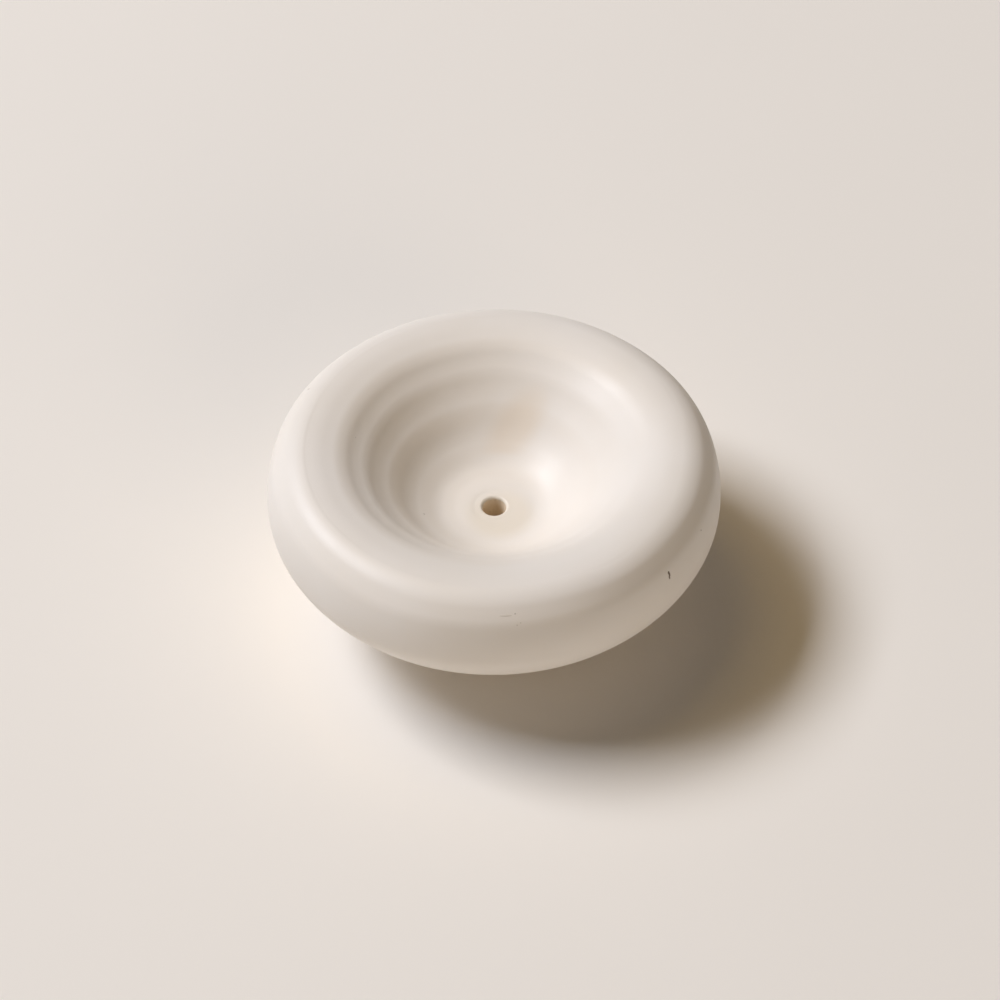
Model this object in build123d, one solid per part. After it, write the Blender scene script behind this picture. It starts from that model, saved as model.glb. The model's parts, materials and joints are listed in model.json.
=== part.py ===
"""Incense stick holder: a squat thrown stoneware bun with a deep dish and one stick hole.

The clay body is turned from a single lump. A coat of glaze covers it from the root of the
trimmed foot, over the belly, the shoulder and the roll, and down the dish to the stick hole.
The foot ring, the base and the inside of the hole stay bare. Millimetres, +Z up, with the
origin on the ground at the centre of the foot.
"""
import os

from build123d import *

# Outside of the glazed holder
outer_diameter = 76.0
overall_height = 31.6
belly_height = 21.0          # ground to the widest ring
crest_diameter = 61.0        # the highest ring of the roll

# Dish
dish_floor_diameter = 12.4   # where the wall of the dish has run out flat
dish_floor_height = 17.0     # ground to the glazed floor of the dish

# Stick hole
stick_hole_diameter = 4.0
stick_hole_depth = 12.0      # dish floor to the bottom of the hole
clay_lip_radius = 0.15       # the clay's edge round the hole, under the glaze

# Trimmed foot
foot_diameter = 34.0
foot_height = 2.2
foot_ring_width = 4.2
base_recess_depth = 1.6
foot_edge_radius = 0.5

# Glaze
glaze_thickness = 0.4

# How far each curve keeps its end direction, as a share of its own width or height
flare_share = 0.08           # belly, running out from the foot
belly_rise_share = 0.48      # belly, upright below the widest ring
shoulder_rise_share = 0.68   # shoulder, upright above the widest ring
roll_share = 0.58            # roll, level outside the crest
dish_brim_share = 0.44       # dish, level inside the crest
dish_floor_share = 0.37      # dish, level where it meets its floor

outer_radius = outer_diameter / 2
crest_radius = crest_diameter / 2
dish_floor_radius = dish_floor_diameter / 2
hole_radius = stick_hole_diameter / 2
hole_lip_radius = clay_lip_radius + glaze_thickness
foot_radius = foot_diameter / 2
foot_inner_radius = foot_radius - foot_ring_width
hole_bottom_height = dish_floor_height - stick_hole_depth


def turned_line(inset):
    """The turned line from the foot's root to the stick hole, set in by a coat's thickness."""
    root_height = foot_height + inset
    widest = outer_radius - inset
    crest_height = overall_height - inset
    floor_height = dish_floor_height - inset
    lip_height = dish_floor_height - hole_lip_radius
    belly_width = widest - foot_radius
    belly_rise = belly_height - root_height
    roll_width = widest - crest_radius
    shoulder_rise = crest_height - belly_height
    dish_width = crest_radius - dish_floor_radius

    belly = Bezier(
        (foot_radius, root_height),
        (foot_radius + flare_share * belly_width, root_height),
        (widest, belly_height - belly_rise_share * belly_rise),
        (widest, belly_height),
    )
    shoulder = Bezier(
        (widest, belly_height),
        (widest, belly_height + shoulder_rise_share * shoulder_rise),
        (crest_radius + roll_share * roll_width, crest_height),
        (crest_radius, crest_height),
    )
    dish = Bezier(
        (crest_radius, crest_height),
        (crest_radius - dish_brim_share * dish_width, crest_height),
        (dish_floor_radius + dish_floor_share * dish_width, floor_height),
        (dish_floor_radius, floor_height),
    )
    dish_floor = Line((dish_floor_radius, floor_height), (hole_radius + hole_lip_radius, floor_height))
    lip = RadiusArc(
        (hole_radius + hole_lip_radius, floor_height),
        (hole_radius + inset, lip_height),
        -(hole_lip_radius - inset),
    )
    return [belly, shoulder, dish, dish_floor, lip]


def turn(outline):
    """Turn a closed outline, drawn in radius and height, once round the wheel's axis."""
    section = Plane.XZ * make_face(Wire(outline))
    return revolve(section, Axis.Z)


def clay_body():
    """The stoneware: bare foot, base and hole, and the surface that the glaze lies on."""
    clay_line = turned_line(glaze_thickness)
    hole_ledge = clay_line[-1] @ 1
    corners = [
        hole_ledge,
        (hole_radius, hole_ledge.Y),
        (hole_radius, hole_bottom_height),
        (0, hole_bottom_height),
        (0, base_recess_depth),
        (foot_inner_radius, base_recess_depth),
        (foot_inner_radius, 0),
        (foot_radius, 0),
        clay_line[0] @ 0,
    ]
    body = turn(clay_line + Polyline(*corners).edges())
    foot_edges = body.edges().filter_by(GeomType.CIRCLE).group_by(Axis.Z)[0]
    return fillet(foot_edges, foot_edge_radius)


def glaze_coat():
    """The fired coat, between the outer line and the clay, open at the foot and the hole."""
    outer_line = turned_line(0)
    clay_line = turned_line(glaze_thickness)
    hole_end = Line(outer_line[-1] @ 1, clay_line[-1] @ 1)
    foot_end = Line(outer_line[0] @ 0, clay_line[0] @ 0)
    return turn(outer_line + [hole_end] + clay_line + [foot_end])


os.makedirs("parts", exist_ok=True)
pieces = {"clay_body": clay_body(), "glaze_coat": glaze_coat()}
for node, shape in pieces.items():
    export_step(shape, f"parts/{node}.step")
    print(node, "volume", round(shape.volume), "mm3")
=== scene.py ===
# %% [markdown]
# # A thrown incense stick holder
# This is a squat stoneware bun, thrown on a potter's wheel from one lump of clay. Its top is opened into a
# deep dish with a hole for one stick, and it is dipped in a satin white glaze. The foot, the base and the
# inside of the hole stay bare. Nothing on it moves.
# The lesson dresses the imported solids. It draws the potter's line, turns it with Geometry Nodes, and
# paints the finishes with shader nodes.

# %% Load the frame
import json
import math
from collections import namedtuple

import bmesh
import bpy
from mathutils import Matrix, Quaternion, Vector


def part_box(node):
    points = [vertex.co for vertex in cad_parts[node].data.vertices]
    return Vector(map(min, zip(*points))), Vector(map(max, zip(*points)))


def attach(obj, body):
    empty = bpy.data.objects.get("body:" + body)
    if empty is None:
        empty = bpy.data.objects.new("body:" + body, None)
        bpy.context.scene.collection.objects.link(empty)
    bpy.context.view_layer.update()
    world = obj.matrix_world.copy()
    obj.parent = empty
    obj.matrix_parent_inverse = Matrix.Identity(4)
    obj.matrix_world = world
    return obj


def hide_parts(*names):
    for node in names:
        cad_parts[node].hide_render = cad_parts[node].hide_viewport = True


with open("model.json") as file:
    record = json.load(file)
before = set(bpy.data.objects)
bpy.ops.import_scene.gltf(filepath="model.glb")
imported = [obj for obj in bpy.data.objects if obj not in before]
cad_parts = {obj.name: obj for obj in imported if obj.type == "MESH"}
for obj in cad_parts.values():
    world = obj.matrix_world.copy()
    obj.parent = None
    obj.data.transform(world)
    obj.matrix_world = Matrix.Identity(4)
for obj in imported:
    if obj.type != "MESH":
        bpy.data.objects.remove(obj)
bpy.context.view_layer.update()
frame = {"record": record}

# %% [markdown]
# ## Sizes
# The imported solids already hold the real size, so the sizes that can be read from them are read. The rest
# of the potter's line can't be read from a box, so it is repeated here in millimetres. A Blender unit is
# a metre, and one named factor turns millimetres into metres.

# %% Read the sizes
MM = 0.001
coat_low, coat_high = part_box("glaze_coat")
clay_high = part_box("clay_body")[1]
stick_hole = next(mount for mount in frame["record"]["mounts"] if mount["name"] == "stick_hole")

outer_radius = coat_high.x
overall_height = coat_high.z
foot_height = coat_low.z
glaze_thickness = outer_radius - clay_high.x
hole_radius = stick_hole["dims"]["r_mm"] * MM
lip_height = stick_hole["pos_m"][2]
hole_bottom = lip_height - stick_hole["dims"]["length_mm"] * MM

belly_height = 21.0 * MM
crest_radius = 30.5 * MM
dish_floor_radius = 6.2 * MM
hole_lip_radius = 0.55 * MM
foot_radius = 17.0 * MM
foot_ring_width = 4.2 * MM
base_recess_depth = 1.6 * MM
foot_edge_radius = 0.5 * MM
dish_floor_height = lip_height + hole_lip_radius
print("radius", round(outer_radius / MM, 2), "height", round(overall_height / MM, 2), "mm")

# %% [markdown]
# ## The potter's line
# Everything here is turned, so its whole shape is one line from the foot, round the belly and the roll, and
# down the dish to the hole. It could be a long list of points. A few Bezier stretches are better, because
# each stretch keeps the direction of its neighbour at the joint, and the shape needs only a handful of
# sizes. The glaze and the clay share the line: the clay's is set in by the thickness of the glaze.

# %% Stretches of the line
Stretch = namedtuple("Stretch", "start leaving arriving end steps")
ROUND_SHARE = 0.5523          # handle length that makes a quarter circle


def straight(start, end, steps):
    """A stretch with its handles on the straight line between its ends."""
    start, end = Vector(start), Vector(end)
    return Stretch(start, start.lerp(end, 1 / 3), start.lerp(end, 2 / 3), end, steps)


def rounded(start, corner, end, steps):
    """A stretch that rounds a square corner as a quarter circle."""
    start, corner, end = Vector(start), Vector(corner), Vector(end)
    return Stretch(start, start.lerp(corner, ROUND_SHARE), end.lerp(corner, ROUND_SHARE), end, steps)


# %% The whole line
FINE, COARSE = 1.0, 0.4       # the skin that shows, and the faces hidden under it

# How many steps each stretch is cut into, at full fineness
BELLY_STEPS, SHOULDER_STEPS, DISH_STEPS, FLOOR_STEPS, LIP_STEPS = 72, 56, 112, 12, 14


def turned_line(inset, fineness):
    """Belly, shoulder, dish, dish floor and lip as (radius, height), set in by a coat's thickness."""
    root = Vector((foot_radius, foot_height + inset))
    widest = Vector((outer_radius - inset, belly_height))
    crest = Vector((crest_radius, overall_height - inset))
    floor = Vector((dish_floor_radius, dish_floor_height - inset))
    lip_top = Vector((hole_radius + hole_lip_radius, floor.y))
    lip_end = Vector((hole_radius + inset, lip_height))
    lip_corner = Vector((lip_end.x, lip_top.y))

    flare_share, belly_rise_share = 0.08, 0.48
    shoulder_rise_share, roll_share = 0.68, 0.58
    brim_share, floor_share = 0.44, 0.37
    flare = Vector((flare_share * (widest.x - root.x), 0))
    belly_rise = Vector((0, belly_rise_share * (widest.y - root.y)))
    shoulder_rise = Vector((0, shoulder_rise_share * (crest.y - widest.y)))
    roll = Vector((roll_share * (widest.x - crest.x), 0))
    brim = Vector((brim_share * (crest.x - floor.x), 0))
    run_out = Vector((floor_share * (crest.x - floor.x), 0))
    return [
        Stretch(root, root + flare, widest - belly_rise, widest, round(BELLY_STEPS * fineness)),
        Stretch(widest, widest + shoulder_rise, crest + roll, crest, round(SHOULDER_STEPS * fineness)),
        Stretch(crest, crest - brim, floor + run_out, floor, round(DISH_STEPS * fineness)),
        straight(floor, lip_top, round(FLOOR_STEPS * fineness)),
        rounded(lip_top, lip_corner, lip_end, round(LIP_STEPS * fineness)),
    ]


outer_line = turned_line(0, FINE)
clay_line = turned_line(glaze_thickness, COARSE)
print("outer line in", sum(stretch.steps for stretch in outer_line), "steps,",
      "clay line in", sum(stretch.steps for stretch in clay_line))

# %% [markdown]
# ## A node helper
# Node trees are built in the script, so that every value in them has a name. One small function adds a
# node, makes its settings, and fills its inputs with values or with links from other nodes. It looks only
# at the sockets that the settings leave in use, so a Mix node's A and B are always the right pair.

# %% Add a node


def fill(tree, node, inputs):
    """Fill inputs, by name or number, with values, sockets or the first output of other nodes."""
    in_use = [socket for socket in node.inputs if socket.enabled]
    for key, value in inputs.items():
        socket = in_use[key] if isinstance(key, int) else next(s for s in in_use if s.name == key)
        if isinstance(value, bpy.types.Node):
            value = next(output for output in value.outputs if output.enabled)
        if isinstance(value, bpy.types.NodeSocket):
            tree.links.new(value, socket)
        else:
            socket.default_value = value


def add(tree, kind, inputs=None, **settings):
    """Add one node, make its settings, and fill its inputs."""
    node = tree.nodes.new(kind)
    for name, value in settings.items():
        setattr(node, name, value)
    fill(tree, node, inputs or {})
    return node


def new_tree(name, inputs):
    """A Geometry Nodes tree with named inputs and one geometry output."""
    tree = bpy.data.node_groups.new(name, "GeometryNodeTree")
    for socket, kind in inputs.items():
        tree.interface.new_socket(socket, in_out="INPUT", socket_type="NodeSocket" + kind)
    tree.interface.new_socket("Geometry", in_out="OUTPUT", socket_type="NodeSocketGeometry")
    print("tree", name, "has", len(inputs), "inputs")
    return tree


# %% [markdown]
# ## The wheel
# A lathe could be a Screw modifier or a loop that writes vertices. Here it is a Geometry Nodes tree, because
# the same tree then presses the potter's fingers into the wet clay. It sweeps the line round a small circle,
# welds the stretches, and moves each point in or out along the line's own normal.
# The normal is worked out on the line, before the sweep. So the inner and the outer face of the glaze move
# the same way, and the coat keeps its thickness.

# %% Sweep the line round the axis
wheel = new_tree("turn_on_the_wheel", {
    "Line": "Geometry", "Steps round": "Int",
    "Ring depth": "Float", "Ring waver": "Float", "Ring lean": "Vector",
    "Dish floor height": "Float", "Crest radius": "Float", "Crest height": "Float",
    "Belly height": "Float", "Trim pitch": "Float", "Trim depth": "Float", "Trim height": "Float",
    "Wobble size": "Float", "Wobble depth": "Float", "Seed": "Float", "Material": "Material",
})
wheel_in = add(wheel, "NodeGroupInput").outputs

HUB_RADIUS = 1.0 * MM         # the small circle that the line is swept along
WELD = 0.002 * MM             # joins the ends of neighbouring stretches
QUARTER_TURN = math.pi / 2    # lays the upright line down, as a sweep's profile has to lie
tangent = add(wheel, "ShaderNodeSeparateXYZ", {0: add(wheel, "GeometryNodeInputTangent")}).outputs
inward = add(wheel, "ShaderNodeMath", {0: tangent["X"], 1: -1.0}, operation="MULTIPLY")
line_normal = add(wheel, "ShaderNodeCombineXYZ", {"X": tangent["Z"], "Z": inward})
with_normal = add(wheel, "GeometryNodeCaptureAttribute", {"Geometry": wheel_in["Line"]})
with_normal.capture_items.new("VECTOR", "Normal")
fill(wheel, with_normal, {"Normal": line_normal})
laid = add(wheel, "GeometryNodeTransform", {
    "Geometry": with_normal, "Translation": (-HUB_RADIUS, 0, 0), "Rotation": (QUARTER_TURN, 0, 0)})
hub = add(wheel, "GeometryNodeCurvePrimitiveCircle", {
    "Resolution": wheel_in["Steps round"], "Radius": HUB_RADIUS})
swept = add(wheel, "GeometryNodeCurveToMesh", {"Curve": hub, "Profile Curve": laid})
welded = add(wheel, "GeometryNodeMergeByDistance", {"Geometry": swept, "Distance": WELD})
print("the sweep takes", len(wheel.nodes), "nodes")

# %% [markdown]
# ## Throwing rings
# Fingertips leave shallow rings in the wall of the dish, about a finger's width apart. They hardly show on
# the side that faces the light, and stand out where light grazes the wall. So they have to be real shape,
# and not paint. A sine of the radius would space them evenly, but a hand doesn't. A Float Curve holds their
# heights instead: one point for each ridge and each groove, at the radius where the photograph's shading
# puts it. A wide noise lets the rings waver a little on their way round. The clay sat a little off centre,
# so the fingers pressed deeper at the back left.

# %% Read each point's place
place = add(wheel, "GeometryNodeInputPosition")
place_xyz = add(wheel, "ShaderNodeSeparateXYZ", {0: place}).outputs
height = place_xyz["Z"]
level = add(wheel, "ShaderNodeVectorMath", {0: place, 1: (1, 1, 0)}, operation="MULTIPLY")
radius = add(wheel, "ShaderNodeVectorMath", {0: level}, operation="LENGTH")


def soft_noise(seed):
    """Noise as wide as the wobble, from -0.5 to 0.5, over the place of each point."""
    scale = add(wheel, "ShaderNodeMath", {0: 1.0, 1: wheel_in["Wobble size"]}, operation="DIVIDE")
    noise = add(wheel, "ShaderNodeTexNoise", {
        "Vector": place, "W": seed, "Scale": scale, "Detail": 1.0}, noise_dimensions="4D")
    return add(wheel, "ShaderNodeMath", {0: noise, 1: 0.5}, operation="SUBTRACT")


waver = add(wheel, "ShaderNodeMath", {
    0: soft_noise(wheel_in["Seed"]), 1: wheel_in["Ring waver"]}, operation="MULTIPLY")
print("with each point's place,", len(wheel.nodes), "nodes")

# %% Rings of the dish


def ring_heights(rings, distance):
    """A Float Curve through the rings, read at a distance that wavers a little."""
    reach_mm = rings[-1][0]
    wavered = add(wheel, "ShaderNodeMath", {0: distance, 1: waver}, operation="ADD")
    curve = add(wheel, "ShaderNodeFloatCurve", {
        "Value": add(wheel, "ShaderNodeMath", {0: wavered, 1: reach_mm * MM}, operation="DIVIDE")})
    line = curve.mapping.curves[0]
    for (distance_mm, share), end in zip((rings[0], rings[-1]), line.points):
        end.location = (distance_mm / reach_mm, share)
    for distance_mm, share in rings[1:-1]:
        line.points.new(distance_mm / reach_mm, share)
    curve.mapping.use_clip = False
    curve.mapping.extend = "HORIZONTAL"
    curve.mapping.update()
    return curve


# Distance in mm, and height as a share of the ring depth: above 0 a ridge, below 0 a groove
DISH_RINGS = (      # by radius
    (3.5, 0.0), (7.1, 0.7), (9.7, 0.3), (11.2, 0.4), (14.0, -0.4), (16.4, 0.6),
    (19.4, -1.0), (21.4, -0.1), (22.9, -0.6), (25.1, 0.6), (28.5, -0.5), (31.5, 0.0),
)
FADE_DEPTH = 4.0 * MM         # this far below the dish's floor the rings are gone, so the foot stays plain
none_below = add(wheel, "ShaderNodeMath", {
    0: wheel_in["Dish floor height"], 1: FADE_DEPTH}, operation="SUBTRACT")
full_above = add(wheel, "ShaderNodeMath", {0: none_below, 1: FADE_DEPTH / 2}, operation="ADD")
in_dish = add(wheel, "ShaderNodeMapRange", {
    "Value": height, "From Min": none_below, "From Max": full_above}, interpolation_type="SMOOTHSTEP")
leaning = add(wheel, "ShaderNodeVectorMath", {0: level, 1: wheel_in["Ring lean"]}, operation="DOT_PRODUCT")
lean = add(wheel, "ShaderNodeMath", {0: leaning, 1: radius}, operation="DIVIDE")
pressure = add(wheel, "ShaderNodeMath", {0: lean, 1: 1.0}, operation="ADD")
pressed_in = add(wheel, "ShaderNodeMath", {0: in_dish, 1: pressure}, operation="MULTIPLY")
dish_rings = add(wheel, "ShaderNodeMath", {
    0: ring_heights(DISH_RINGS, radius), 1: pressed_in}, operation="MULTIPLY")
print("dish rings at", [distance_mm for distance_mm, share in DISH_RINGS], "mm")

# %% [markdown]
# ## Shoulder rings and the trimming spiral
# The outside was smoothed with a rib, so its rings are fainter. The clearest is a soft edge one or two
# millimetres below the crest, where the rib stopped. They are placed by their depth below the crest.
# The foot was cut with a loop tool while the pot turned upside down, and the tool's path leaves a fine
# spiral. A spiral could be a curve that is cut into the clay. Here it is a wave of the radius that also
# shifts with the angle round the axis, so the same tree can press it in.

# %% Shoulder rings
SHOULDER_RINGS = (  # by depth below the crest
    (0.1, 0.0), (0.9, 0.55), (2.2, -0.4), (3.7, 0.4), (5.6, -0.2), (8.5, 0.0),
)
EASE = 2.0 * MM               # the rings come in over this width outside the crest
drop = add(wheel, "ShaderNodeMath", {0: wheel_in["Crest height"], 1: height}, operation="SUBTRACT")
eased = add(wheel, "ShaderNodeMath", {0: wheel_in["Crest radius"], 1: EASE}, operation="ADD")
outside = add(wheel, "ShaderNodeMapRange", {
    "Value": radius, "From Min": wheel_in["Crest radius"], "From Max": eased},
    interpolation_type="SMOOTHSTEP")
shoulder_rings = add(wheel, "ShaderNodeMath", {
    0: ring_heights(SHOULDER_RINGS, drop), 1: outside}, operation="MULTIPLY")
print("shoulder rings at", [distance_mm for distance_mm, share in SHOULDER_RINGS], "mm below the crest")

# %% Trimming spiral
FULL_TRIM_SHARE = 0.8         # of the foot's height: below it the tool's marks have their full depth
around = add(wheel, "ShaderNodeMath", {0: place_xyz["Y"], 1: place_xyz["X"]}, operation="ARCTAN2")
turns = add(wheel, "ShaderNodeMath", {0: radius, 1: wheel_in["Trim pitch"]}, operation="DIVIDE")
angle = add(wheel, "ShaderNodeMath", {0: turns, 1: math.tau, 2: around}, operation="MULTIPLY_ADD")
wave = add(wheel, "ShaderNodeMath", {0: angle}, operation="COSINE")
groove = add(wheel, "ShaderNodeMath", {0: wave, 1: 0.5, 2: -0.5}, operation="MULTIPLY_ADD")
full_trim = add(wheel, "ShaderNodeMath", {
    0: wheel_in["Trim height"], 1: FULL_TRIM_SHARE}, operation="MULTIPLY")
on_foot = add(wheel, "ShaderNodeMapRange", {
    "Value": height, "From Min": wheel_in["Trim height"], "From Max": full_trim},
    interpolation_type="SMOOTHSTEP")
trim_spiral = add(wheel, "ShaderNodeMath", {0: groove, 1: on_foot}, operation="MULTIPLY")
print("with rings and spiral,", len(wheel.nodes), "nodes")

# %% [markdown]
# ## A hand's wobble, and the finished skin
# No thrown pot is truly round. A soft noise, as wide as a thumb, lowers the surface by a few hundredths of a
# millimetre here and there. The wobble only goes inwards, and no ridge lies on the crest or at the widest
# place, so the piece stays within its measured size.
# The tree also keeps the ring field on the points, because the glaze runs thin on the ridges and its
# material reads where they are.

# %% Move the points
other_seed = add(wheel, "ShaderNodeMath", {0: wheel_in["Seed"], 1: 1.0}, operation="ADD")
hollow = add(wheel, "ShaderNodeMath", {0: soft_noise(other_seed), 1: 0.5}, operation="SUBTRACT")
above_foot = add(wheel, "ShaderNodeMapRange", {
    "Value": height, "From Min": wheel_in["Trim height"], "From Max": wheel_in["Belly height"]},
    interpolation_type="SMOOTHSTEP")
wobble = add(wheel, "ShaderNodeMath", {0: hollow, 1: wheel_in["Wobble depth"]}, operation="MULTIPLY")
move = add(wheel, "ShaderNodeMath", {0: wobble, 1: above_foot}, operation="MULTIPLY")
marks_and_depths = (
    (dish_rings, "Ring depth"), (shoulder_rings, "Ring depth"), (trim_spiral, "Trim depth"),
)
for mark, depth in marks_and_depths:
    move = add(wheel, "ShaderNodeMath", {0: mark, 1: wheel_in[depth], 2: move}, operation="MULTIPLY_ADD")

normal = add(wheel, "ShaderNodeSeparateXYZ", {0: with_normal.outputs["Normal"]}).outputs
outwards = add(wheel, "ShaderNodeMath", {0: normal["X"], 1: move}, operation="MULTIPLY")
upwards = add(wheel, "ShaderNodeMath", {0: normal["Z"], 1: move}, operation="MULTIPLY")
spoke = add(wheel, "ShaderNodeVectorMath", {0: level}, operation="NORMALIZE")
sideways = add(wheel, "ShaderNodeVectorMath", {0: spoke, "Scale": outwards}, operation="SCALE")
lift = add(wheel, "ShaderNodeCombineXYZ", {"Z": upwards})
shift = add(wheel, "ShaderNodeVectorMath", {0: sideways, 1: lift}, operation="ADD")
ringed_skin = add(wheel, "GeometryNodeStoreNamedAttribute", {
    "Geometry": welded, "Name": "ring", "Value": dish_rings}, data_type="FLOAT", domain="POINT")
pressed = add(wheel, "GeometryNodeSetPosition", {"Geometry": ringed_skin, "Offset": shift})
print("with", len(marks_and_depths), "kinds of mark pressed in,", len(wheel.nodes), "nodes")

# %% Finish the tree
CRISP_EDGE = math.radians(35)
smooth = add(wheel, "GeometryNodeSetShadeSmooth", {"Geometry": pressed}, domain="FACE")
crisp = add(wheel, "FunctionNodeCompare", {
    "A": add(wheel, "GeometryNodeInputMeshEdgeAngle"), "B": CRISP_EDGE}, operation="GREATER_THAN")
edged = add(wheel, "GeometryNodeSetShadeSmooth", {
    "Geometry": smooth, "Selection": crisp, "Shade Smooth": False}, domain="EDGE")
real = add(wheel, "GeometryNodeRealizeInstances", {"Geometry": edged})
painted = add(wheel, "GeometryNodeSetMaterial", {"Geometry": real, "Material": wheel_in["Material"]})
add(wheel, "NodeGroupOutput", {"Geometry": painted})
print("wheel tree has", len(wheel.nodes), "nodes")

# %% [markdown]
# ## From tree to mesh
# A modifier's input is set by its socket's identifier, because names may repeat. The evaluated result is
# copied into a plain mesh, so that the piece carries no modifier. The inner face of a coat was drawn the same
# way as the outer one, so the normals of the closed shell are recalculated at the end.

# %% Draw an outline


def drawn(name, stretches):
    """A curve object with one Bezier spline for each stretch, standing upright in the XZ plane."""
    line = bpy.data.curves.new(name, "CURVE")
    line.dimensions = "3D"
    for stretch in stretches:
        spline = line.splines.new("BEZIER")
        spline.bezier_points.add(1)
        spline.resolution_u = stretch.steps
        first, last = spline.bezier_points
        for point, end in ((first, stretch.start), (last, stretch.end)):
            point.handle_left_type = point.handle_right_type = "FREE"
            point.co = point.handle_left = point.handle_right = (end.x, 0, end.y)
        first.handle_right = (stretch.leaving.x, 0, stretch.leaving.y)
        last.handle_left = (stretch.arriving.x, 0, stretch.arriving.y)
    outline = bpy.data.objects.new(name, line)
    bpy.context.scene.collection.objects.link(outline)
    print("drew", name, "in", len(stretches), "stretches")
    return outline


# %% Make a plain piece


def made(source, tree, values, name):
    """Run a tree on an object and return its result as a plain mesh object at the origin."""
    sockets = {item.name: item.identifier for item in tree.interface.items_tree if item.in_out == "INPUT"}
    modifier = source.modifiers.new("made", "NODES")
    modifier.node_group = tree
    for socket, value in values.items():
        modifier[sockets[socket]] = value
    graph = bpy.context.evaluated_depsgraph_get()
    mesh = bpy.data.meshes.new_from_object(
        source.evaluated_get(graph), preserve_all_data_layers=True, depsgraph=graph)
    source.modifiers.remove(modifier)
    bpy.data.objects.remove(source)

    shell = bmesh.new()
    shell.from_mesh(mesh)
    bmesh.ops.recalc_face_normals(shell, faces=shell.faces)
    open_edges = sum(not edge.is_manifold for edge in shell.edges)
    volume = shell.calc_volume()
    shell.to_mesh(mesh)
    shell.free()
    piece = bpy.data.objects.new(name, mesh)
    mesh.name = name
    bpy.context.scene.collection.objects.link(piece)
    triangles = sum(len(face.vertices) - 2 for face in mesh.polygons)
    print(name, triangles, "triangles,", open_edges, "open edges, volume", round(volume / MM**3), "mm3")
    return piece


# %% Sizes for the wheel
WHEEL_SIZES = {
    "Steps round": 224,
    "Ring depth": 0.13 * MM, "Ring waver": 1.0 * MM, "Ring lean": (-0.54, 0.25, 0.0),
    "Dish floor height": dish_floor_height, "Crest radius": crest_radius, "Crest height": overall_height,
    "Belly height": belly_height,
    "Trim pitch": 0.9 * MM, "Trim depth": 0.04 * MM, "Trim height": foot_height,
    "Wobble size": 22 * MM, "Wobble depth": 0.12 * MM, "Seed": 4.0,
}
print(len(WHEEL_SIZES), "sizes set for the wheel")

# %% [markdown]
# ## Satin white glaze
# The glaze is a tin-white stoneware glaze, dipped and fired to a satin. It reads as a warm white with a soft,
# wide highlight. It is a little uneven: cloudy where it lies thick, and warmer where it runs thin over the
# rings. One flat colour would look like plastic, so each of those is a layer of nodes read in Object
# coordinates or from the ring field.

# %% Colours
GLAZE_WHITE = "ede6dc"


def linear(hex_colour):
    """An sRGB hex colour as linear RGBA."""
    channels = [int(hex_colour[i:i + 2], 16) / 255 for i in (0, 2, 4)]
    return [c / 12.92 if c <= 0.04045 else ((c + 0.055) / 1.055) ** 2.4 for c in channels] + [1.0]


def new_material(name):
    """A material with a plain Principled shader, returned with its tree and that shader."""
    material = bpy.data.materials.new(name)
    material.use_nodes = True
    return material, material.node_tree, material.node_tree.nodes["Principled BSDF"]


print("glaze white in linear light", [round(channel, 3) for channel in linear(GLAZE_WHITE)[:3]])

# %% Glaze clouds and ridges
# A dipped satin glaze gives the eye a milky depth: soft clouds of white, and no hard edge in its gloss
glaze, tree, shader = new_material("satin_white_glaze_dipped_and_fired")
object_place = add(tree, "ShaderNodeTexCoord").outputs["Object"]

CLOUD_SIZE = 26 * MM          # soft patches where the dip ran thick
clouds = add(tree, "ShaderNodeTexNoise", {"Vector": object_place, "Scale": 1 / CLOUD_SIZE, "Detail": 3.0})
cloudy = add(tree, "ShaderNodeMapRange", {"Value": clouds, "From Min": 0.35, "From Max": 0.65})
body_colour = add(tree, "ShaderNodeMix", {
    "Factor": cloudy, "A": linear(GLAZE_WHITE), "B": linear("f1ebe3")}, data_type="RGBA")

RING_TINT = 0.3               # how much of the warmer colour shows on the highest ridge
ring_field = add(tree, "ShaderNodeAttribute", attribute_name="ring").outputs["Fac"]
ridge = add(tree, "ShaderNodeMath", {0: ring_field, 1: RING_TINT}, operation="MULTIPLY", use_clamp=True)
ringed = add(tree, "ShaderNodeMix", {
    "Factor": ridge, "A": body_colour, "B": linear("e9dfd1")}, data_type="RGBA")
print("glaze clouds", round(CLOUD_SIZE / MM), "mm wide")

# %% [markdown]
# ## A painted reflection, and a thin place in the glaze
# A warmer, darker streak down the far wall of the dish is a painted reflection in the glaze, not a colour
# that the glaze has. Round the hole, and a little more in front of it, the glaze lies thin, so the clay under
# it warms its colour. Both could be painted on a texture. Here a Mapping node stretches a soft ball along the
# streak, and a distance from one point makes the thin place.

# %% Painted reflection on the far wall
REFLECTION_TOP = Vector((8.5, 18.5, 26.5)) * MM      # the painted reflection runs down the far wall between these
REFLECTION_FOOT = Vector((-1.0, 9.6, 17.4)) * MM
REFLECTION_WIDTH = 10 * MM
REFLECTION_HALF_SHARE = 0.62       # half the streak's length, as a share of the way from top to foot
REFLECTION_CORE = 0.3              # share of the streak, from its middle, that has the full tint
REFLECTION_TINT = 0.55
REFLECTION_EDGE = 10.2 * MM        # the painted reflection stops inside this radius
REFLECTION_EDGE_WIDTH = 1.5 * MM
reflection_run = REFLECTION_TOP - REFLECTION_FOOT
reflection_place = add(tree, "ShaderNodeMapping", {
    "Vector": object_place, "Location": (REFLECTION_TOP + REFLECTION_FOOT) / 2,
    "Rotation": reflection_run.to_track_quat("Z", "Y").to_euler(),
    "Scale": (REFLECTION_WIDTH / 2, REFLECTION_WIDTH / 2, reflection_run.length * REFLECTION_HALF_SHARE)}, vector_type="TEXTURE")
reflection_far = add(tree, "ShaderNodeVectorMath", {0: reflection_place}, operation="LENGTH")
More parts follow.
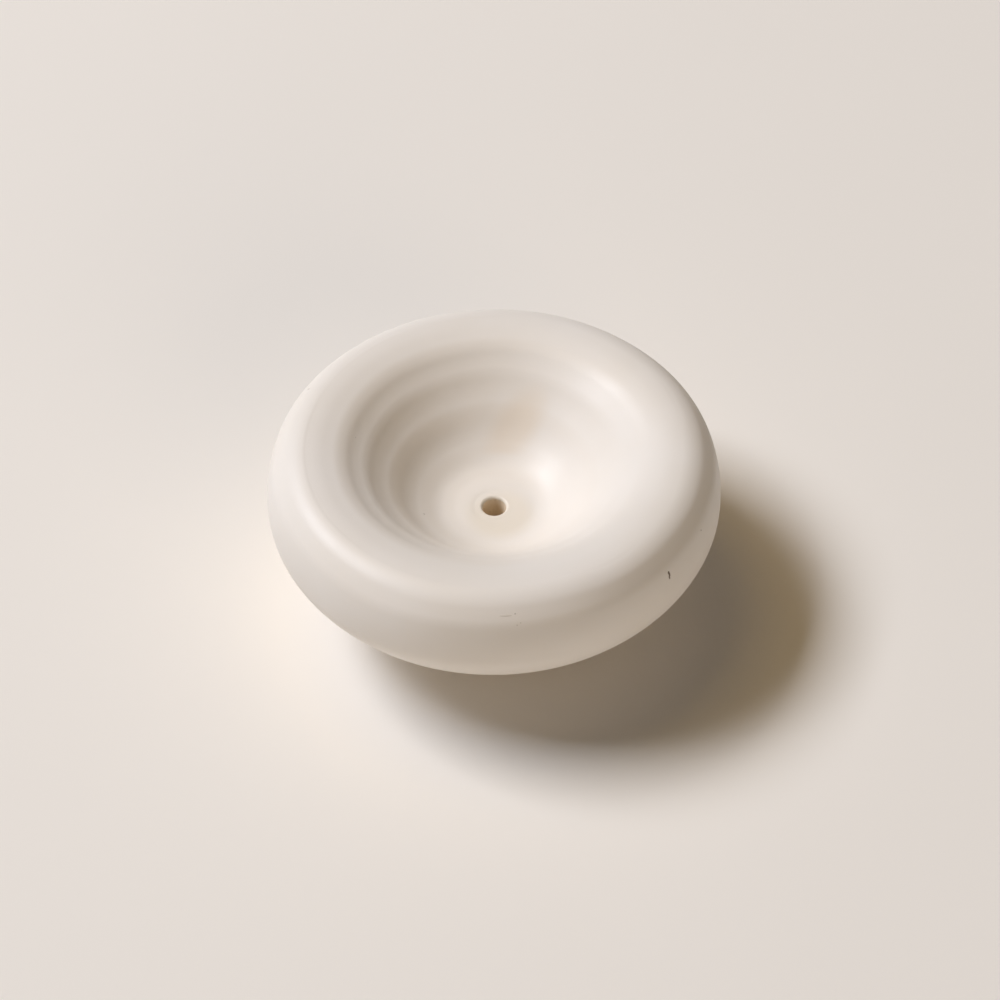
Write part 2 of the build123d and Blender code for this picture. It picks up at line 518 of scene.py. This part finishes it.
painted_reflection = add(tree, "ShaderNodeMapRange", {
    "Value": reflection_far, "From Min": 1.0, "From Max": REFLECTION_CORE, "To Max": REFLECTION_TINT},
    interpolation_type="SMOOTHSTEP")
across = add(tree, "ShaderNodeVectorMath", {0: object_place, 1: (1, 1, 0)}, operation="MULTIPLY")
from_axis = add(tree, "ShaderNodeVectorMath", {0: across}, operation="LENGTH")
reflection_end = add(tree, "ShaderNodeMapRange", {
    "Value": from_axis, "From Min": REFLECTION_EDGE, "From Max": REFLECTION_EDGE + REFLECTION_EDGE_WIDTH},
    interpolation_type="SMOOTHSTEP")
reflection_patch = add(tree, "ShaderNodeMath", {0: painted_reflection, 1: reflection_end}, operation="MULTIPLY")
# Painted reflection: a warmer, darker tint mixed into the glaze's colour on the far wall of the dish
with_painted_reflection = add(tree, "ShaderNodeMix", {
    "Factor": reflection_patch, "A": ringed, "B": linear("e8d9c5")}, data_type="RGBA")
print("painted_reflection", round(reflection_run.length / MM, 1), "mm down the far wall")

# %% Thin place at the hole
THIN_PLACE = Vector((1.0 * MM, -2.0 * MM, dish_floor_height))
THIN_SIZE = 14 * MM
THIN_TINT = 0.5
from_thin = add(tree, "ShaderNodeVectorMath", {0: object_place, 1: THIN_PLACE}, operation="SUBTRACT")
thin_far = add(tree, "ShaderNodeVectorMath", {0: from_thin}, operation="LENGTH")
thin = add(tree, "ShaderNodeMapRange", {
    "Value": thin_far, "From Min": THIN_SIZE / 2, "From Max": THIN_SIZE / 4, "To Max": THIN_TINT},
    interpolation_type="SMOOTHSTEP")
warmed = add(tree, "ShaderNodeMix", {
    "Factor": thin, "A": with_painted_reflection, "B": linear("e9ddc8")}, data_type="RGBA")
print("thin place", round(THIN_SIZE / MM), "mm wide")

# %% [markdown]
# ## The glaze's skin
# A satin glaze isn't a mirror. Its gloss changes from patch to patch, and it has the faint ripple of an
# orange's skin, which breaks up the edge of a highlight. The ripple could be cut into the mesh, but it is far
# finer than the mesh's faces. So one noise drives a bump, and another drives the roughness.

# %% Glaze gloss and ripple
SHEEN_SIZE = 9 * MM           # patches of more and of less gloss
GLOSSIEST, DULLEST = 0.40, 0.48
sheen = add(tree, "ShaderNodeTexNoise", {"Vector": object_place, "Scale": 1 / SHEEN_SIZE, "Detail": 2.0})
roughness = add(tree, "ShaderNodeMapRange", {
    "Value": sheen, "From Min": 0.3, "From Max": 0.7, "To Min": GLOSSIEST, "To Max": DULLEST})

PEEL_SIZE = 1.1 * MM          # ripple of the fired skin
PEEL_HEIGHT = 0.012 * MM
peel = add(tree, "ShaderNodeTexNoise", {"Vector": object_place, "Scale": 1 / PEEL_SIZE, "Detail": 1.0})
ripple = add(tree, "ShaderNodeBump", {"Height": peel, "Strength": 0.25, "Distance": PEEL_HEIGHT})
fill(tree, shader, {
    "Base Color": warmed, "Roughness": roughness, "Normal": ripple, "IOR": 1.5, "Specular IOR Level": 0.4})
print("glaze material has", len(tree.nodes), "nodes")

# %% [markdown]
# ## Glaze coat
# The coat is a closed skin: its outer line, a narrow end at the hole, the clay's line under it, and a narrow
# end at the foot. Turning that outline gives a shell with a true thickness, as a dipped pot has.

# %% Turn the coat
foot_end = straight(outer_line[0].start, clay_line[0].start, steps=2)
hole_end = straight(outer_line[-1].end, clay_line[-1].end, steps=2)
coat = made(drawn("coat_outline", outer_line + [hole_end] + clay_line + [foot_end]), wheel,
            {**WHEEL_SIZES, "Material": glaze}, "satin_glaze_coat")
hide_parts("glaze_coat")
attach(coat, "root")

# %% [markdown]
# ## Bare stoneware
# The clay under the glaze shows inside the hole and under the foot. It is a buff stoneware with fine grog,
# fired without glaze, so it is matt, slightly gritty, and tan where the flame reached it. A plain noise could
# colour it all, but grog is separate grains. So Voronoi cells make the grains, and a noise makes only the
# toasted patches.

# %% Stoneware material
# Bare fired clay gives the eye a dry, dull tan with darker grains in it
stoneware, tree, shader = new_material("buff_stoneware_bare_fired")
object_place = add(tree, "ShaderNodeTexCoord").outputs["Object"]

TOAST_SIZE = 12 * MM          # patches that the flame toasted
toast = add(tree, "ShaderNodeTexNoise", {"Vector": object_place, "Scale": 1 / TOAST_SIZE, "Detail": 4.0})
clay_colour = add(tree, "ShaderNodeMix", {
    "Factor": toast, "A": linear("f3e5ce"), "B": linear("e8d1b0")}, data_type="RGBA")

GROG_SIZE = 0.6 * MM          # one grain to each cell of this width
GROG_TINT = 0.45
grog = add(tree, "ShaderNodeTexVoronoi", {"Vector": object_place, "Scale": 1 / GROG_SIZE})
grog_grain = add(tree, "ShaderNodeMapRange", {
    "Value": grog, "From Min": 0.08, "From Max": 0.22, "To Min": GROG_TINT, "To Max": 0.0})
grainy = add(tree, "ShaderNodeMix", {
    "Factor": grog_grain, "A": clay_colour, "B": linear("a98b66")}, data_type="RGBA")

GRIT_SIZE = 0.35 * MM
GRIT_HEIGHT = 0.05 * MM
grit = add(tree, "ShaderNodeTexNoise", {"Vector": object_place, "Scale": 1 / GRIT_SIZE, "Detail": 3.0})
rough_skin = add(tree, "ShaderNodeBump", {"Height": grit, "Strength": 0.6, "Distance": GRIT_HEIGHT})
fill(tree, shader, {"Base Color": grainy, "Normal": rough_skin, "Roughness": 0.85})
print("stoneware material has", len(tree.nodes), "nodes")

# %% [markdown]
# ## Clay body
# The body follows the clay's line under the glaze, then goes down the hole, across the base and round the
# trimmed foot ring. The foot's two lower edges are softened with a sponge before firing, so they are
# rounded. The same wheel turns it. Where the trimming spiral crosses, on the base and under the foot, the
# line has many steps.

# %% Turn the clay body
ring_inside = foot_radius - foot_ring_width
flat_inside = ring_inside + foot_edge_radius
flat_outside = foot_radius - foot_edge_radius
hole_top = (hole_radius, lip_height)
hole_corner = (hole_radius, hole_bottom)
recess_corner = (ring_inside, base_recess_depth)
inner_edge = (ring_inside, foot_edge_radius)
outer_edge = (foot_radius, foot_edge_radius)
bare_line = [
    straight(clay_line[-1].end, hole_top, steps=2),
    straight(hole_top, hole_corner, steps=36),
    straight(hole_corner, (0, hole_bottom), steps=8),
    straight((0, base_recess_depth), recess_corner, steps=84),
    straight(recess_corner, inner_edge, steps=8),
    rounded(inner_edge, (ring_inside, 0), (flat_inside, 0), steps=6),
    straight((flat_inside, 0), (flat_outside, 0), steps=24),
    rounded((flat_outside, 0), (foot_radius, 0), outer_edge, steps=6),
    straight(outer_edge, clay_line[0].start, steps=12),
]
clay = made(drawn("clay_outline", clay_line + bare_line), wheel,
            {**WHEEL_SIZES, "Material": stoneware}, "bare_stoneware_body")
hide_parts("clay_body")
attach(clay, "root")

# %% [markdown]
# ## Iron specks
# Grains of iron in the clay melt into the glaze and leave a few dark specks. Some lie on top, and some are
# veiled by the glaze that flowed over them. They could be dots in the glaze's colour. Here they are real
# grains, flattened spheres half sunk in the glaze, so that each keeps its own size, place and veil. Geometry
# Nodes drops each place onto the nearest glaze, stands the grain along the surface's normal, and scatters a
# few more on the far side, which the photograph doesn't show.

# %% Iron material
# Melted iron gives the eye a dark, rusty brown fleck, or a grey ghost of one under a veil of glaze
iron, tree, shader = new_material("iron_speck_melted_in_glaze")
object_place = add(tree, "ShaderNodeTexCoord").outputs["Object"]
RUST_SIZE = 0.3 * MM
rust = add(tree, "ShaderNodeTexNoise", {"Vector": object_place, "Scale": 1 / RUST_SIZE, "Detail": 2.0})
rusty = add(tree, "ShaderNodeMix", {
    "Factor": rust, "A": linear("554a40"), "B": linear("86735f")}, data_type="RGBA")
veil = add(tree, "ShaderNodeAttribute", attribute_name="veil").outputs["Fac"]
veiled = add(tree, "ShaderNodeMix", {
    "Factor": veil, "A": rusty, "B": linear(GLAZE_WHITE)}, data_type="RGBA")
fill(tree, shader, {"Base Color": veiled, "Roughness": 0.45})
print("iron material has", len(tree.nodes), "nodes")

# %% Strew specks over the far side
specks = new_tree("sink_specks_into_glaze", {
    "Places": "Geometry", "Coat": "Object", "Crest radius": "Float",
    "Smallest": "Float", "Largest": "Float", "Thinnest veil": "Float", "Thickest veil": "Float",
    "Sunk thickness": "Float", "Per square metre": "Float", "Seed": "Int", "Material": "Material",
})
specks_in = add(specks, "NodeGroupInput").outputs
skin = add(specks, "GeometryNodeObjectInfo", {"Object": specks_in["Coat"]}).outputs["Geometry"]
where = add(specks, "GeometryNodeInputPosition")
facing = add(specks, "GeometryNodeInputNormal")
flat = add(specks, "ShaderNodeVectorMath", {0: where, 1: (1, 1, 0)}, operation="MULTIPLY")
far_out = add(specks, "ShaderNodeVectorMath", {0: flat}, operation="LENGTH")
facing_out = add(specks, "ShaderNodeVectorMath", {0: flat, 1: facing}, operation="DOT_PRODUCT")
behind = add(specks, "ShaderNodeSeparateXYZ", {0: where}).outputs["Y"]

# Only the outer wall of the far side: outside the crest, facing outwards, and behind the axis
chosen = add(specks, "FunctionNodeCompare", {
    "A": far_out, "B": specks_in["Crest radius"]}, operation="GREATER_THAN")
for value in (facing_out, behind):
    positive = add(specks, "FunctionNodeCompare", {"A": value, "B": 0.0}, operation="GREATER_THAN")
    chosen = add(specks, "FunctionNodeBooleanMath", {0: chosen, 1: positive}, operation="AND")
strewn = add(specks, "GeometryNodeDistributePointsOnFaces", {
    "Mesh": skin, "Selection": chosen, "Density": specks_in["Per square metre"], "Seed": specks_in["Seed"]})

any_size = add(specks, "FunctionNodeRandomValue", {
    "Min": specks_in["Smallest"], "Max": specks_in["Largest"], "Seed": specks_in["Seed"]}, data_type="FLOAT")
round_size = add(specks, "ShaderNodeCombineXYZ", {"X": any_size, "Y": any_size})
sized = add(specks, "GeometryNodeStoreNamedAttribute", {
    "Geometry": strewn, "Name": "size", "Value": round_size}, data_type="FLOAT_VECTOR", domain="POINT")
any_veil = add(specks, "FunctionNodeRandomValue", {
    "Min": specks_in["Thinnest veil"], "Max": specks_in["Thickest veil"], "Seed": specks_in["Seed"]},
    data_type="FLOAT")
hidden = add(specks, "GeometryNodeStoreNamedAttribute", {
    "Geometry": sized, "Name": "veil", "Value": any_veil}, data_type="FLOAT", domain="POINT")
print("strewing takes", len(specks.nodes), "nodes")

# %% Stand each grain on the glaze
BALL_RADIUS = 0.5             # a ball one unit across, which each speck's size then scales
placed = add(specks, "GeometryNodeMeshToPoints", {"Mesh": specks_in["Places"]})
together = add(specks, "GeometryNodeJoinGeometry", {0: hidden})
fill(specks, together, {0: placed})     # a join's one input takes a second link beside the first
nearest = add(specks, "GeometryNodeProximity", {
    "Geometry": skin, "Sample Position": where}, target_element="FACES")
upright = add(specks, "GeometryNodeSampleNearestSurface", {
    "Mesh": skin, "Value": facing, "Sample Position": where}, data_type="FLOAT_VECTOR")
landed = add(specks, "GeometryNodeSetPosition", {"Geometry": together, "Position": nearest})
stood = add(specks, "FunctionNodeAlignRotationToVector", {"Vector": upright}, axis="Z")
turned = add(specks, "FunctionNodeAlignRotationToVector", {
    "Rotation": stood, "Vector": (0, 0, 1)}, axis="X", pivot_axis="Z")
asked_size = add(specks, "GeometryNodeInputNamedAttribute", {"Name": "size"}, data_type="FLOAT_VECTOR")
thick = add(specks, "ShaderNodeCombineXYZ", {"Z": specks_in["Sunk thickness"]})
full_size = add(specks, "ShaderNodeVectorMath", {0: asked_size, 1: thick}, operation="ADD")
ball = add(specks, "GeometryNodeMeshIcoSphere", {"Radius": BALL_RADIUS, "Subdivisions": 3})
grains = add(specks, "GeometryNodeInstanceOnPoints", {
    "Points": landed, "Instance": ball, "Rotation": turned, "Scale": full_size})
real_grains = add(specks, "GeometryNodeRealizeInstances", {"Geometry": grains})
smooth_grains = add(specks, "GeometryNodeSetShadeSmooth", {"Geometry": real_grains})
iron_grains = add(specks, "GeometryNodeSetMaterial", {
    "Geometry": smooth_grains, "Material": specks_in["Material"]})
add(specks, "NodeGroupOutput", {"Geometry": iron_grains})
print("speck tree has", len(specks.nodes), "nodes")

# %% [markdown]
# ## Specks that the photograph shows
# The photograph shows one long comma on the right of the belly, a faint smear at the front and some fine
# dots. Each is a row of the list below: where it lies, how long and wide it is, and how much glaze veils it.
# The comma is three overlapping grains, because one flattened sphere can't bend.

# %% Place the specks
# Azimuth in degrees, where 270 faces the camera, then mm, then the share that the glaze veils
Speck = namedtuple("Speck", "azimuth radius height length width veil")
SEEN_SPECKS = (
    Speck(318.6, 37.1, 26.75, 0.60, 0.42, 0.0),     # the comma: its head, its middle and its tail
    Speck(318.7, 37.2, 26.35, 0.90, 0.38, 0.0),
    Speck(318.5, 37.4, 25.90, 0.80, 0.30, 0.0),
    Speck(335.1, 37.0, 27.0, 0.34, 0.32, 0.6),      # dots on the shoulder
    Speck(275.0, 35.4, 29.5, 0.26, 0.28, 0.7),
    Speck(272.6, 35.6, 29.4, 0.34, 2.00, 0.88),     # a faint smear and a pair at the front
    Speck(276.2, 36.3, 28.3, 0.24, 0.24, 0.8),
    Speck(275.3, 36.5, 28.0, 0.26, 0.24, 0.8),
    Speck(198.5, 12.4, 19.3, 0.30, 0.28, 0.5),      # dots in the dish
    Speck(169.0, 23.4, 29.3, 0.28, 0.26, 0.75),
)
marks = bpy.data.meshes.new("speck_places")
marks.from_pydata([
    (speck.radius * MM * math.cos(math.radians(speck.azimuth)),
     speck.radius * MM * math.sin(math.radians(speck.azimuth)), speck.height * MM)
    for speck in SEEN_SPECKS], [], [])
mark_sizes = marks.attributes.new("size", "FLOAT_VECTOR", "POINT")
for mark, speck in zip(mark_sizes.data, SEEN_SPECKS):
    mark.vector = (speck.length * MM, speck.width * MM, 0)
mark_veils = marks.attributes.new("veil", "FLOAT", "POINT")
for mark, speck in zip(mark_veils.data, SEEN_SPECKS):
    mark.value = speck.veil
places = bpy.data.objects.new("speck_places", marks)
bpy.context.scene.collection.objects.link(places)
iron_specks = made(places, specks, {
    "Coat": coat, "Crest radius": crest_radius, "Smallest": 0.2 * MM, "Largest": 0.5 * MM,
    "Thinnest veil": 0.2, "Thickest veil": 0.8, "Sunk thickness": 0.08 * MM,
    "Per square metre": 2500.0, "Seed": 7, "Material": iron}, "iron_specks")
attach(iron_specks, "root")

# %% [markdown]
# ## Floor
# The holder stands on a plain pale board, which catches its shadow and throws a little light back up under
# the belly. One square face is enough. It is wide, so that low views still see it behind the piece.

# %% Floor
# Flat paint gives the eye an even, dull white with faint brushed patches
board, tree, shader = new_material("pale_painted_board")
object_place = add(tree, "ShaderNodeTexCoord").outputs["Object"]
BRUSH_SIZE = 60 * MM
brush = add(tree, "ShaderNodeTexNoise", {"Vector": object_place, "Scale": 1 / BRUSH_SIZE, "Detail": 3.0})
paint = add(tree, "ShaderNodeMix", {
    "Factor": brush, "A": linear("f5f0e8"), "B": linear("f7f2ea")}, data_type="RGBA")
fill(tree, shader, {"Base Color": paint, "Roughness": 0.9, "Specular IOR Level": 0.2})

FLOOR_SIZE = 8.0
half = FLOOR_SIZE / 2
corners = [(-half, -half, 0), (half, -half, 0), (half, half, 0), (-half, half, 0)]
floor_mesh = bpy.data.meshes.new("floor")
floor_mesh.from_pydata(corners, [], [(0, 1, 2, 3)])
floor_mesh.materials.append(board)
floor_piece = bpy.data.objects.new("floor", floor_mesh)
bpy.context.scene.collection.objects.link(floor_piece)
print("floor", FLOOR_SIZE, "m wide")

# %% [markdown]
# ## Light
# One cool soft box stands on the left and a little behind, three metres away. It throws the shadow to the
# right and draws a soft highlight on the left shoulder and on the far right wall of the dish. A warm card
# higher up, and a low warm card in front, fill the shadow a little. One sun or a picture of a room could
# light it too, but area lights give the shadow's soft edge and are easy to place by their direction.
# The world lights nothing matt. It only shows, as a pale room, to the camera and to rays that are mirrored
# or let through.

# %% Lamps


def soft_box(name, azimuth, elevation, distance, width, tall, power, colour):
    """An area light that looks at the holder from a direction. Azimuth 0 is +X, and 90 is behind."""
    turn, rise = math.radians(azimuth), math.radians(elevation)
    direction = Vector((math.cos(rise) * math.cos(turn), math.cos(rise) * math.sin(turn), math.sin(rise)))
    lamp = bpy.data.lights.new(name, "AREA")
    lamp.shape = "RECTANGLE"
    lamp.size, lamp.size_y = width, tall
    lamp.energy = power
    lamp.color = linear(colour)[:3]
    stand = bpy.data.objects.new(name, lamp)
    stand.location = distance * direction
    stand.rotation_euler = (-stand.location).to_track_quat("-Z", "Y").to_euler()
    bpy.context.scene.collection.objects.link(stand)
    print(name, "gives", power, "W from", distance, "m")


soft_box("key", azimuth=161, elevation=50, distance=3.0,
         width=1.5, tall=0.85, power=85, colour="f0f4ff")
soft_box("high_card", azimuth=135, elevation=65, distance=3.0,
         width=1.6, tall=1.6, power=15.4, colour="ffdc9e")
soft_box("front_card", azimuth=-63, elevation=18, distance=2.0,
         width=1.1, tall=1.0, power=8.5, colour="ffecd5")

# %% Pale room
PALE_STRENGTH = 0.8
world = bpy.data.worlds.new("pale_room")
world.use_nodes = True
bpy.context.scene.world = world
room = world.node_tree
rays = add(room, "ShaderNodeLightPath").outputs
seen = add(room, "ShaderNodeMath", {0: rays["Is Camera Ray"], 1: rays["Is Glossy Ray"]}, operation="ADD")
seen = add(room, "ShaderNodeMath", {
    0: seen, 1: rays["Is Transmission Ray"]}, operation="ADD", use_clamp=True)
shown = add(room, "ShaderNodeMath", {0: seen, 1: PALE_STRENGTH}, operation="MULTIPLY")
fill(room, room.nodes["Background"], {"Color": linear("ece6e1"), "Strength": shown})
print("room tree has", len(room.nodes), "nodes")

# %% [markdown]
# ## Camera
# The photograph looks down at about 46 degrees with a long lens. The camera aims at the middle of the widest
# ring, and a small shift puts that point where the photograph has it.

# %% Camera
IMAGE_SIZE = 1000             # pixels, the photograph's frame
RING_CENTRE_PX = (494.0, 489.3)
PX_PER_RADIUS = 226.4         # at the middle of the widest ring
VIEW_ELEVATION = math.radians(46.1)
VIEW_ROLL = math.radians(-0.7)      # the photograph leans a little
VIEW_DISTANCE = 12 * outer_radius   # far enough for the flat look of a long lens
SENSOR = 36.0                 # mm

aim = Vector((0, 0, belly_height))
back = Vector((0, -math.cos(VIEW_ELEVATION), math.sin(VIEW_ELEVATION)))
lens = bpy.data.cameras.new("camera")
lens.sensor_width = SENSOR
lens.lens = SENSOR * PX_PER_RADIUS * VIEW_DISTANCE / outer_radius / IMAGE_SIZE
lens.shift_x = 0.5 - RING_CENTRE_PX[0] / IMAGE_SIZE
lens.shift_y = RING_CENTRE_PX[1] / IMAGE_SIZE - 0.5
lens.clip_start = 0.01
camera = bpy.data.objects.new("camera", lens)
camera.location = aim + VIEW_DISTANCE * back
camera.rotation_euler = (back.to_track_quat("Z", "Y") @ Quaternion((0, 0, 1), VIEW_ROLL)).to_euler()
bpy.context.scene.collection.objects.link(camera)
bpy.context.scene.camera = camera
bpy.context.scene.view_settings.view_transform = "Standard"
print("lens", round(lens.lens, 1), "mm")
